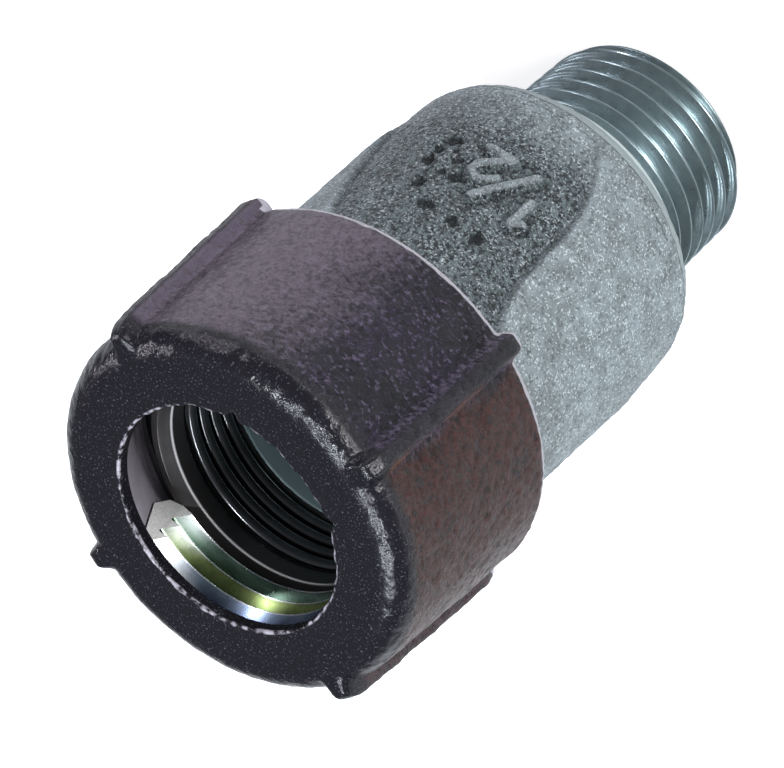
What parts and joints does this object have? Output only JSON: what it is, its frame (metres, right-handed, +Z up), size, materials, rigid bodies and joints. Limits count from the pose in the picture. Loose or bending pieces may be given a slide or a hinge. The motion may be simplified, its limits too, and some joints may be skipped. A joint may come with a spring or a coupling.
{
  "type": "compression coupling",
  "caption": "Cast pipe coupling with a male pipe thread at one end and a ribbed clamp nut that squeezes a toothed grip ring and a rubber gasket onto plain pipe at the other.",
  "frame": {"origin": "centre of the male thread's end face, on which the coupling stands", "axes": "+Z up the bore towards the clamp nut; +X through one nut rib, -Y through the next"},
  "size_m": [0.0386, 0.0386, 0.0632],
  "materials": {
    "galvanised_casting": "galvanised, rough as cast, with fine pits",
    "black_casting": "black, half gloss over the grain of the casting",
    "plated_steel": "bright zinc with a blue and yellow sheen",
    "black_steel": "blackened, half gloss",
    "black_rubber": "smooth moulded rubber"
  },
  "bodies": {
    "body": {"coupling_body": "galvanised_casting", "gasket": "black_rubber"},
    "clamp_set": {"grip_ring": "plated_steel", "pressure_ring": "black_steel"},
    "nut": {"clamp_nut": "black_casting"}
  },
  "joints": [
    {"name": "clamp_travel", "type": "slide", "parent": "body", "child": "clamp_set", "axis": [0, 0, 1], "range_m": [0, 0.01]},
    {"name": "nut_turn", "type": "hinge", "parent": "clamp_set", "child": "nut", "pos_m": [0, 0, 0.05], "axis": [0, 0, 1], "range_deg": [0, 1980]}
  ],
  "couplings": [
    {"joint": "clamp_travel", "follows": "nut_turn", "m_per_rad": 0.00028871}
  ]
}
